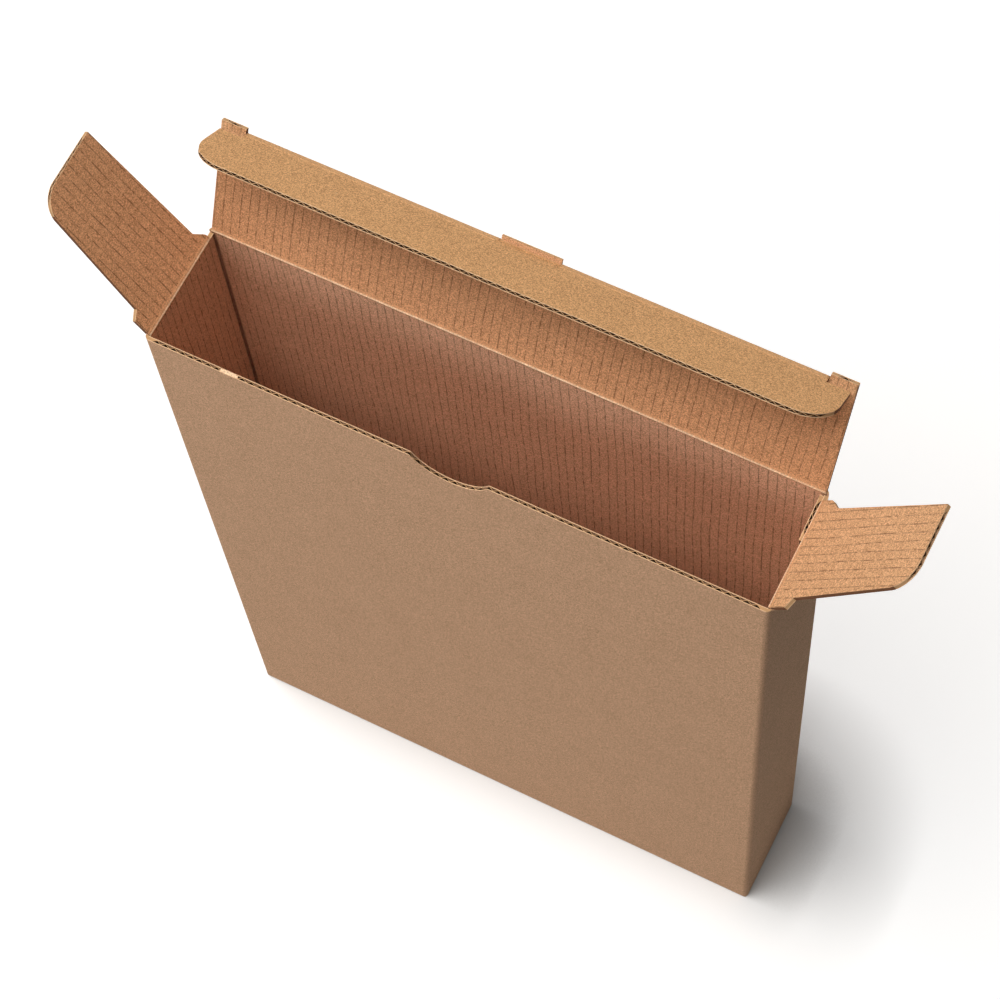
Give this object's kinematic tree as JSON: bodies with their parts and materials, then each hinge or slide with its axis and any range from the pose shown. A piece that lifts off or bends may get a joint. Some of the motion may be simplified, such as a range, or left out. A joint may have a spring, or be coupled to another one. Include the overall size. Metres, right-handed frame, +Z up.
{
  "type": "tuck-top carton",
  "caption": "Flat upright carton of plain brown corrugated board, with a hinged tuck lid, side dust flaps and a thumb notch, for packing flat goods.",
  "frame": {"origin": "middle of the underside, on the surface the carton stands on", "axes": "+X along the width to the right as seen from the front, +Y through the depth from the front wall to the back wall, +Z up"},
  "size_m": [0.3186, 0.0693, 0.3918],
  "materials": {
    "kraft_board": "plain unbleached kraft liner, matte"
  },
  "bodies": {
    "carton": {"carton_body": "kraft_board"},
    "lid": {"lid_panel": "kraft_board"},
    "tuck": {"tuck_flap": "kraft_board"},
    "left_dust": {"left_dust_flap": "kraft_board"},
    "right_dust": {"right_dust_flap": "kraft_board"}
  },
  "joints": [
    {"name": "lid_hinge", "type": "hinge", "parent": "carton", "child": "lid", "pos_m": [0, 0.0237, 0.3332], "axis": [1, 0, 0], "range_deg": [-60, 115]},
    {"name": "tuck_hinge", "type": "hinge", "parent": "lid", "child": "tuck", "pos_m": [0, 0.04293, 0.37444], "axis": [1, 0, 0], "range_deg": [-23, 44]},
    {"name": "left_dust_hinge", "type": "hinge", "parent": "carton", "child": "left_dust", "pos_m": [-0.1192, 0, 0.3313], "axis": [0, -1, 0], "range_deg": [-123.5, 76.5]},
    {"name": "right_dust_hinge", "type": "hinge", "parent": "carton", "child": "right_dust", "pos_m": [0.1192, 0, 0.3313], "axis": [0, 1, 0], "range_deg": [-131.5, 68.5]}
  ],
  "couplings": [
    {"joint": "tuck_hinge", "follows": "lid_hinge", "ratio": 0.375}
  ]
}
